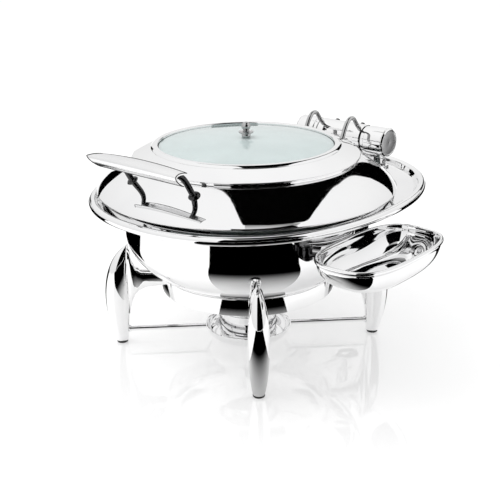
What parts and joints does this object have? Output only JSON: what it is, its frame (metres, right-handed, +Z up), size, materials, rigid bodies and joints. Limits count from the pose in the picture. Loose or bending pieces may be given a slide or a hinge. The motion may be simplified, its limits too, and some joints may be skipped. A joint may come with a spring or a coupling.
{
  "type": "roll top chafer",
  "caption": "Round roll top chafer: water bowl on a stand with horn legs, food pan, hinged dome lid with a glass top, fuel holder and a swinging spoon tray.",
  "frame": {"origin": "on the floor, under the middle of the whole part's box", "axes": "+Z up, -Y towards the guest, where the lid's handle is, +Y towards the hinge, +X towards the spoon tray"},
  "size_m": [0.5461, 0.5474, 0.352],
  "materials": {
    "polished_steel": "mirror polished stainless steel",
    "pan_steel": "fine satin stainless steel",
    "dark_steel": "dark fasteners",
    "cap_grey": "satin grey",
    "bush_brass": "plain bearing bronze",
    "black_rubber": "matt black",
    "glass": "clear, faint green tint"
  },
  "bodies": {
    "base": {"stand_ring": "polished_steel", "leg_1": "polished_steel", "leg_2": "polished_steel", "leg_3": "polished_steel", "leg_4": "polished_steel", "foot_1": "black_rubber", "foot_2": "black_rubber", "foot_3": "black_rubber", "foot_4": "black_rubber", "burner_rod_1": "polished_steel", "burner_rod_2": "polished_steel", "burner_rod_3": "polished_steel", "burner_rod_4": "polished_steel", "burner_dish": "polished_steel", "fuel_cup": "polished_steel", "bowl_shell": "polished_steel", "brim": "polished_steel", "food_pan": "pan_steel", "brace_left": "polished_steel", "brace_right": "polished_steel", "hinge_bracket_left": "polished_steel", "hinge_bracket_right": "polished_steel", "bracket_bolts": "dark_steel", "hinge_tube_left": "polished_steel", "hinge_tube_right": "polished_steel", "hinge_cap_left": "cap_grey", "hinge_cap_right": "cap_grey", "hinge_axle": "dark_steel", "tray_bracket": "polished_steel", "tray_pin": "dark_steel"},
    "lid": {"hinge_barrel": "polished_steel", "hinge_bush_left": "bush_brass", "hinge_bush_right": "bush_brass", "hinge_arm_left": "polished_steel", "hinge_arm_right": "polished_steel", "arm_foot_left": "polished_steel", "arm_foot_right": "polished_steel", "hinge_screw_left": "dark_steel", "hinge_screw_right": "dark_steel", "lid_dome": "polished_steel", "lid_crown": "polished_steel", "glass_ring": "polished_steel", "glass_gasket": "black_rubber", "lid_glass": "glass", "knob": "polished_steel", "knob_nut": "dark_steel", "handle_grip": "polished_steel", "handle_post_left": "polished_steel", "handle_post_right": "polished_steel", "handle_flange_left": "polished_steel", "handle_flange_right": "polished_steel"},
    "tray": {"tray_knuckle": "polished_steel", "spoon_tray": "polished_steel"}
  },
  "joints": [
    {"name": "lid_hinge", "type": "hinge", "parent": "base", "child": "lid", "pos_m": [-0.03935, 0.222, 0.284], "axis": [-1, 0, 0], "range_deg": [0, 90]},
    {"name": "tray_swing", "type": "hinge", "parent": "base", "child": "tray", "pos_m": [0.14265, -0.119, 0.211], "axis": [0, 0, -1], "range_deg": [0, 70]}
  ]
}
